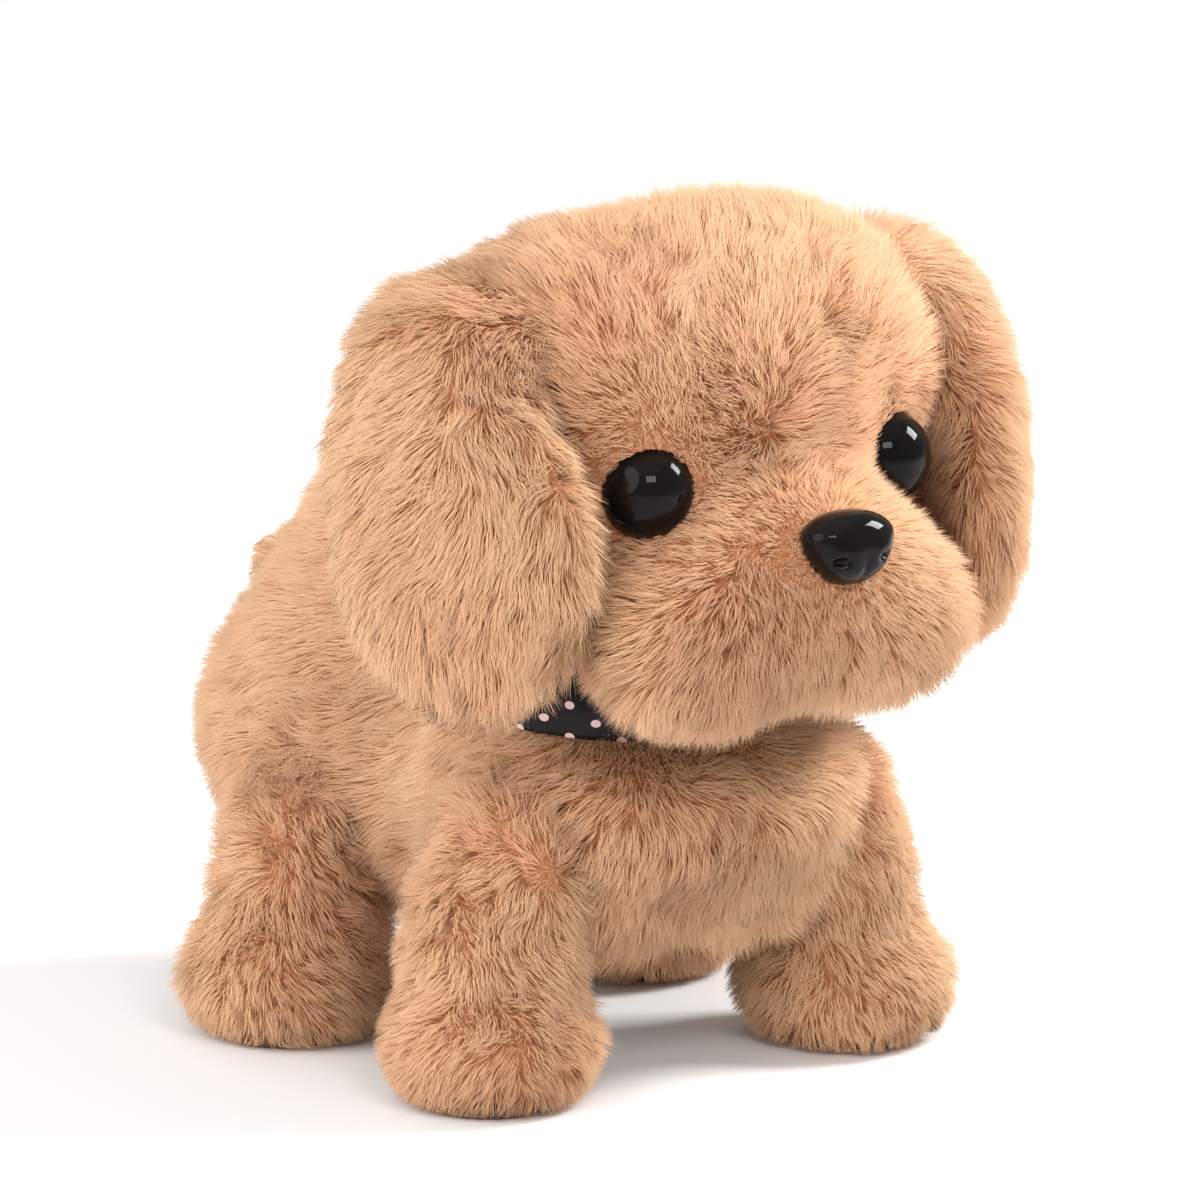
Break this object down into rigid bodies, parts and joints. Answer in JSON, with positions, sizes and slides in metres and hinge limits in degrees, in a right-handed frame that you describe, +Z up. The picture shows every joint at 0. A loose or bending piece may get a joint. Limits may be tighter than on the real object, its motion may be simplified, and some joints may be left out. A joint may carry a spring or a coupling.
{
  "type": "interactive plush pet",
  "caption": "Walking plush puppy: padded legs swing from a battery gearbox, with floppy ears, a nodding head, a wagging tail and a dotted neckerchief.",
  "frame": {"origin": "on the floor, under the middle of the toy's bounding box", "axes": "+Z up, the puppy faces -Y, its left side is +X; the longest side, nose to tail, runs along Y"},
  "size_m": [0.1636, 0.193, 0.17],
  "materials": {
    "plush": "long soft pile, matt",
    "padding": "loose white fibre",
    "neckerchief_cloth": "satin weave with small pale dots",
    "black_gloss": "polished",
    "grey_plastic": "fine moulded texture",
    "white_plastic": "as moulded",
    "black_plastic": "as moulded",
    "board_green": "solder mask",
    "steel": "plated",
    "cell_jacket": "printed sleeve without print",
    "pinion_brass": "machined",
    "sole_rubber": "matt"
  },
  "bodies": {
    "chassis": {"chassis_left": "grey_plastic", "chassis_right": "grey_plastic", "battery_box": "grey_plastic", "battery_cells": "cell_jacket", "battery_contacts": "steel", "circuit_board": "board_green", "speaker": "grey_plastic", "chassis_screws": "steel", "switch_housing": "black_plastic", "motor_can": "steel", "motor_end_cap": "white_plastic", "hip_axles": "steel", "idler_axle": "steel", "neck_bracket": "grey_plastic", "neck_pin": "steel", "tail_bracket": "grey_plastic", "tail_pin": "steel", "body_cover": "plush", "body_padding": "padding", "neckerchief": "neckerchief_cloth"},
    "head": {"head_cover": "plush", "head_padding": "padding", "skull_front": "white_plastic", "skull_back": "white_plastic", "neck_lever": "white_plastic", "left_eye": "black_gloss", "right_eye": "black_gloss", "nose": "black_gloss", "stem_washers": "white_plastic"},
    "left_ear": {"left_ear": "plush"},
    "right_ear": {"right_ear": "plush"},
    "left_front_leg": {"left_front_leg_cover": "plush", "left_front_leg_frame": "white_plastic", "left_front_sole_pad": "sole_rubber"},
    "left_hind_leg": {"left_hind_leg_cover": "plush", "left_hind_leg_frame": "white_plastic", "left_hind_sole_pad": "sole_rubber"},
    "right_front_leg": {"right_front_leg_cover": "plush", "right_front_leg_frame": "white_plastic", "right_front_sole_pad": "sole_rubber"},
    "right_hind_leg": {"right_hind_leg_cover": "plush", "right_hind_leg_frame": "white_plastic", "right_hind_sole_pad": "sole_rubber"},
    "left_drive_bar": {"left_drive_bar": "white_plastic"},
    "right_drive_bar": {"right_drive_bar": "white_plastic"},
    "crank": {"crankshaft": "steel", "crank_gear": "white_plastic", "left_crank_disc": "white_plastic", "right_crank_disc": "white_plastic"},
    "idler": {"idler_gear": "white_plastic"},
    "rotor": {"motor_shaft": "steel", "motor_pinion": "pinion_brass"},
    "tail": {"tail_cover": "plush", "tail_core": "white_plastic"},
    "switch_knob": {"switch_knob": "black_plastic"},
    "battery_door": {"battery_door": "grey_plastic", "door_screw": "steel"}
  },
  "joints": [
    {"name": "left_front_leg_swing", "type": "hinge", "parent": "chassis", "child": "left_front_leg", "pos_m": [0, -0.034, 0.044], "axis": [1, 0, 0], "range_deg": [-10, 10]},
    {"name": "left_hind_leg_swing", "type": "hinge", "parent": "chassis", "child": "left_hind_leg", "pos_m": [0, 0.028, 0.044], "axis": [1, 0, 0], "range_deg": [-10, 10]},
    {"name": "right_front_leg_swing", "type": "hinge", "parent": "chassis", "child": "right_front_leg", "pos_m": [0, -0.034, 0.044], "axis": [1, 0, 0], "range_deg": [-10, 10]},
    {"name": "right_hind_leg_swing", "type": "hinge", "parent": "chassis", "child": "right_hind_leg", "pos_m": [0, 0.028, 0.044], "axis": [1, 0, 0], "range_deg": [-10, 10]},
    {"name": "left_drive_bar_slide", "type": "slide", "parent": "chassis", "child": "left_drive_bar", "axis": [0, 1, 0], "range_m": [-0.0025, 0.0025]},
    {"name": "right_drive_bar_slide", "type": "slide", "parent": "chassis", "child": "right_drive_bar", "axis": [0, 1, 0], "range_m": [-0.0025, 0.0025]},
    {"name": "crank_spin", "type": "hinge", "parent": "chassis", "child": "crank", "pos_m": [0, -0.003, 0.058], "axis": [1, 0, 0], "continuous": true},
    {"name": "idler_spin", "type": "hinge", "parent": "chassis", "child": "idler", "pos_m": [0, 0.0102, 0.058], "axis": [1, 0, 0], "continuous": true},
    {"name": "motor_spin", "type": "hinge", "parent": "chassis", "child": "rotor", "pos_m": [0, 0.0228, 0.058], "axis": [1, 0, 0], "continuous": true},
    {"name": "head_nod", "type": "hinge", "parent": "chassis", "child": "head", "pos_m": [0, -0.033, 0.101], "axis": [-1, 0, 0], "range_deg": [0, 12]},
    {"name": "left_ear_lift", "type": "hinge", "parent": "head", "child": "left_ear", "pos_m": [0.043, -0.033, 0.1525], "axis": [-0.4695, -0.8829, 0], "range_deg": [0, 60]},
    {"name": "right_ear_lift", "type": "hinge", "parent": "head", "child": "right_ear", "pos_m": [-0.043, -0.033, 0.1525], "axis": [-0.4695, 0.8829, 0], "range_deg": [0, 60]},
    {"name": "tail_wag", "type": "hinge", "parent": "chassis", "child": "tail", "pos_m": [0, 0.072, 0.08], "axis": [0, 0, 1], "range_deg": [-20, 20]},
    {"name": "switch_slide", "type": "slide", "parent": "chassis", "child": "switch_knob", "axis": [1, 0, 0], "range_m": [0, 0.004]},
    {"name": "battery_door_release", "type": "slide", "parent": "chassis", "child": "battery_door", "axis": [0, 0, -1], "range_m": [0, 0.015]}
  ],
  "couplings": [
    {"joint": "left_hind_leg_swing", "follows": "left_front_leg_swing", "ratio": 1},
    {"joint": "right_front_leg_swing", "follows": "left_front_leg_swing", "ratio": -1},
    {"joint": "right_hind_leg_swing", "follows": "left_front_leg_swing", "ratio": -1},
    {"joint": "left_drive_bar_slide", "follows": "left_front_leg_swing", "m_per_rad": -0.014},
    {"joint": "right_drive_bar_slide", "follows": "left_front_leg_swing", "m_per_rad": 0.014},
    {"joint": "idler_spin", "follows": "crank_spin", "ratio": -2.6667},
    {"joint": "motor_spin", "follows": "crank_spin", "ratio": 6.6667}
  ]
}
